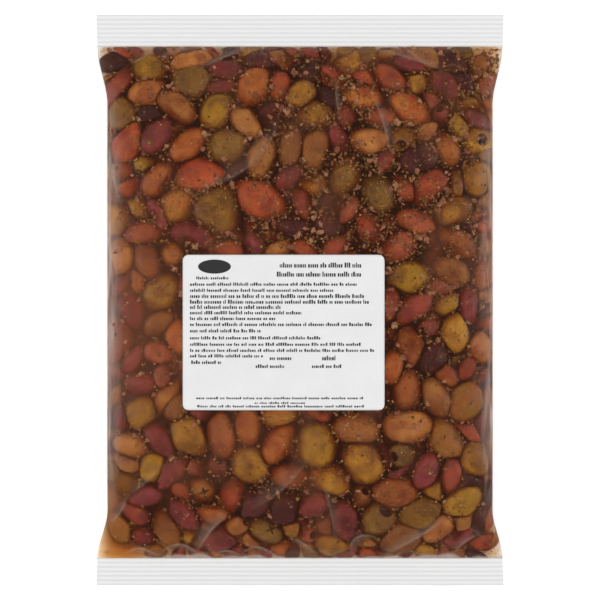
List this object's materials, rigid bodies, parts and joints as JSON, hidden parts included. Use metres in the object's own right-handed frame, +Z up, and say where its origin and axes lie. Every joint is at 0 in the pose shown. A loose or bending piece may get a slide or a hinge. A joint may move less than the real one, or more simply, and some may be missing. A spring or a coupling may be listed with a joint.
{
  "type": "clear pillow bag of mixed olives",
  "caption": "Clear flat-lying pillow bag filled with mixed pitted olives in seasoned oil, with a ribbed heat seal across each end and a plain white label stuck on top.",
  "frame": {"origin": "on the surface that the bag lies on, under the middle of the bag", "axes": "+Z up, out of the labelled face; +Y along the bag's length, towards the top of the label; +X to the right of someone reading the label"},
  "size_m": [0.25, 0.35, 0.0397],
  "materials": {
    "film": "clear soft plastic film, here with the colour of the olives and oil that show through it",
    "label": "smooth white label paper"
  },
  "bodies": {
    "root": {"bag": "film", "label": "label"}
  },
  "joints": []
}
